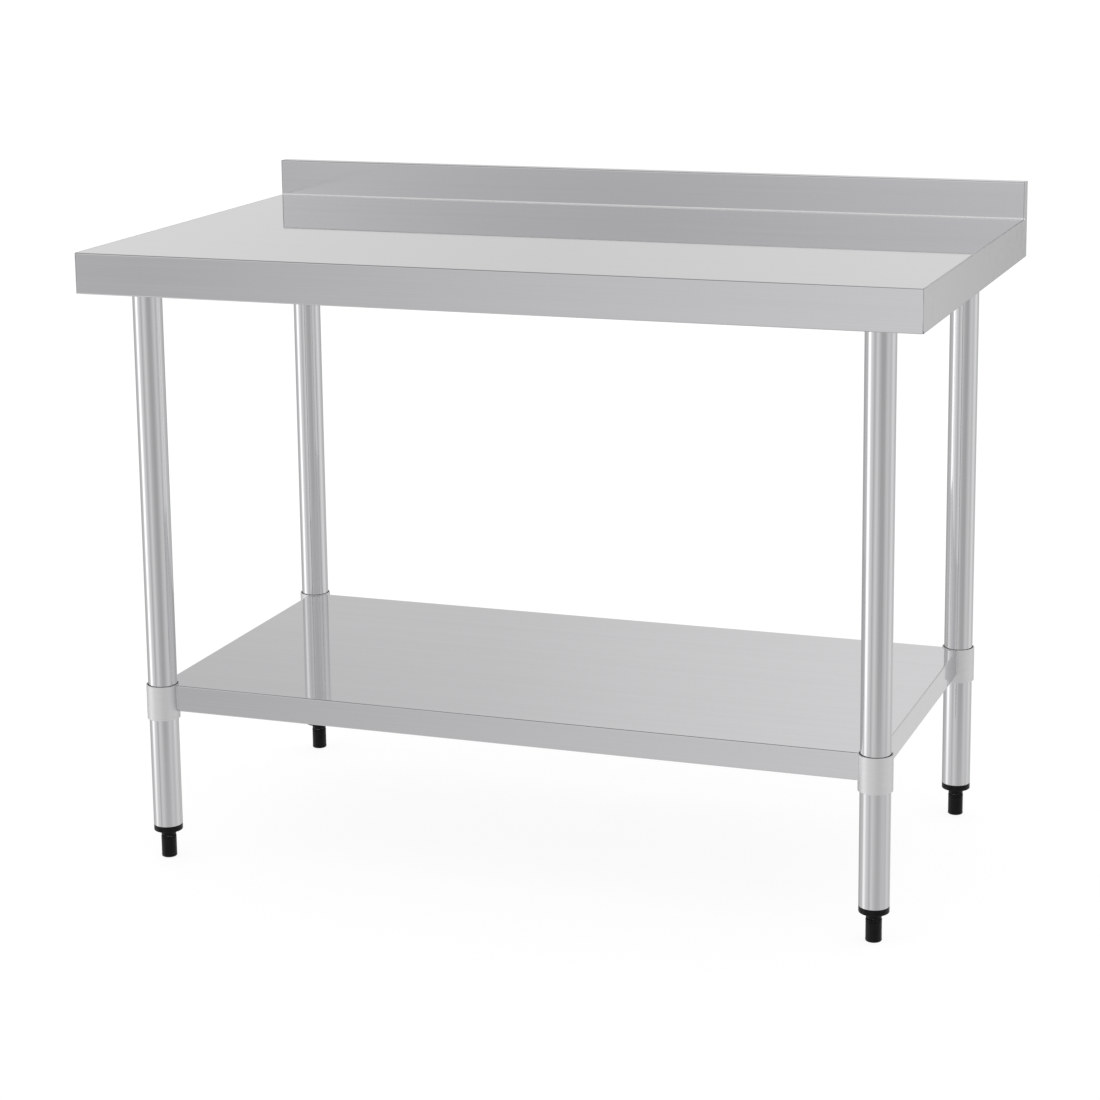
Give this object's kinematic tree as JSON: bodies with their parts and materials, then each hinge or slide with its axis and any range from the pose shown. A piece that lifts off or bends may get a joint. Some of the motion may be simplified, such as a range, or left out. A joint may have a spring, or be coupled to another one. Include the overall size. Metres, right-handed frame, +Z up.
{
  "type": "stainless work table",
  "caption": "Stainless steel work table with a rear upstand, tube legs with screw-in feet, and an undershelf whose collars slide on the legs.",
  "frame": {"origin": "on the floor under the middle of the table's outline", "axes": "+X along the width to the right, +Y to the upstand at the rear, +Z up"},
  "size_m": [1.2, 0.7, 0.955],
  "materials": {
    "worktop_stainless": "fine brushed, bright",
    "shelf_stainless": "bright rolled",
    "leg_tube_stainless": "polished tube",
    "collar_satin": "smooth satin",
    "galvanised_sheet": "galvanised",
    "zinc_plated_steel": "zinc plated",
    "black_plastic": "moulded"
  },
  "bodies": {
    "frame": {"worktop": "worktop_stainless", "end_plate_left": "worktop_stainless", "end_plate_right": "worktop_stainless", "cross_channel_left": "galvanised_sheet", "cross_channel_right": "galvanised_sheet", "long_channel": "galvanised_sheet", "socket_front_left": "galvanised_sheet", "socket_front_right": "galvanised_sheet", "socket_rear_left": "galvanised_sheet", "socket_rear_right": "galvanised_sheet", "socket_bolts": "zinc_plated_steel", "socket_nuts": "zinc_plated_steel", "socket_grub_screws": "zinc_plated_steel", "leg_front_left": "leg_tube_stainless", "leg_front_right": "leg_tube_stainless", "leg_rear_left": "leg_tube_stainless", "leg_rear_right": "leg_tube_stainless", "foot_insert_front_left": "black_plastic", "foot_insert_front_right": "black_plastic", "foot_insert_rear_left": "black_plastic", "foot_insert_rear_right": "black_plastic"},
    "shelf": {"undershelf": "shelf_stainless", "shelf_channel": "galvanised_sheet", "collar_front_left": "collar_satin", "collar_front_right": "collar_satin", "collar_rear_left": "collar_satin", "collar_rear_right": "collar_satin", "collar_grub_screws": "zinc_plated_steel"},
    "stud_front_left": {"foot_stud_front_left": "zinc_plated_steel"},
    "boot_front_left": {"foot_boot_front_left": "black_plastic"},
    "stud_front_right": {"foot_stud_front_right": "zinc_plated_steel"},
    "boot_front_right": {"foot_boot_front_right": "black_plastic"},
    "stud_rear_left": {"foot_stud_rear_left": "zinc_plated_steel"},
    "boot_rear_left": {"foot_boot_rear_left": "black_plastic"},
    "stud_rear_right": {"foot_stud_rear_right": "zinc_plated_steel"},
    "boot_rear_right": {"foot_boot_rear_right": "black_plastic"}
  },
  "joints": [
    {"name": "shelf_height", "type": "slide", "parent": "frame", "child": "shelf", "axis": [0, 0, 1], "range_m": [-0.15, 0.55]},
    {"name": "foot_extend_front_left", "type": "slide", "parent": "frame", "child": "stud_front_left", "axis": [0, 0, -1], "range_m": [0, 0.024]},
    {"name": "foot_turn_front_left", "type": "hinge", "parent": "stud_front_left", "child": "boot_front_left", "pos_m": [-0.528, -0.277, 0.014], "axis": [0, 0, -1], "range_deg": [0, 4900]},
    {"name": "foot_extend_front_right", "type": "slide", "parent": "frame", "child": "stud_front_right", "axis": [0, 0, -1], "range_m": [0, 0.024]},
    {"name": "foot_turn_front_right", "type": "hinge", "parent": "stud_front_right", "child": "boot_front_right", "pos_m": [0.528, -0.277, 0.014], "axis": [0, 0, -1], "range_deg": [0, 4900]},
    {"name": "foot_extend_rear_left", "type": "slide", "parent": "frame", "child": "stud_rear_left", "axis": [0, 0, -1], "range_m": [0, 0.024]},
    {"name": "foot_turn_rear_left", "type": "hinge", "parent": "stud_rear_left", "child": "boot_rear_left", "pos_m": [-0.528, 0.257, 0.014], "axis": [0, 0, -1], "range_deg": [0, 4900]},
    {"name": "foot_extend_rear_right", "type": "slide", "parent": "frame", "child": "stud_rear_right", "axis": [0, 0, -1], "range_m": [0, 0.024]},
    {"name": "foot_turn_rear_right", "type": "hinge", "parent": "stud_rear_right", "child": "boot_rear_right", "pos_m": [0.528, 0.257, 0.014], "axis": [0, 0, -1], "range_deg": [0, 4900]}
  ],
  "couplings": [
    {"joint": "foot_extend_front_left", "follows": "foot_turn_front_left", "m_per_rad": 0.00027852},
    {"joint": "foot_extend_front_right", "follows": "foot_turn_front_right", "m_per_rad": 0.00027852},
    {"joint": "foot_extend_rear_left", "follows": "foot_turn_rear_left", "m_per_rad": 0.00027852},
    {"joint": "foot_extend_rear_right", "follows": "foot_turn_rear_right", "m_per_rad": 0.00027852}
  ]
}
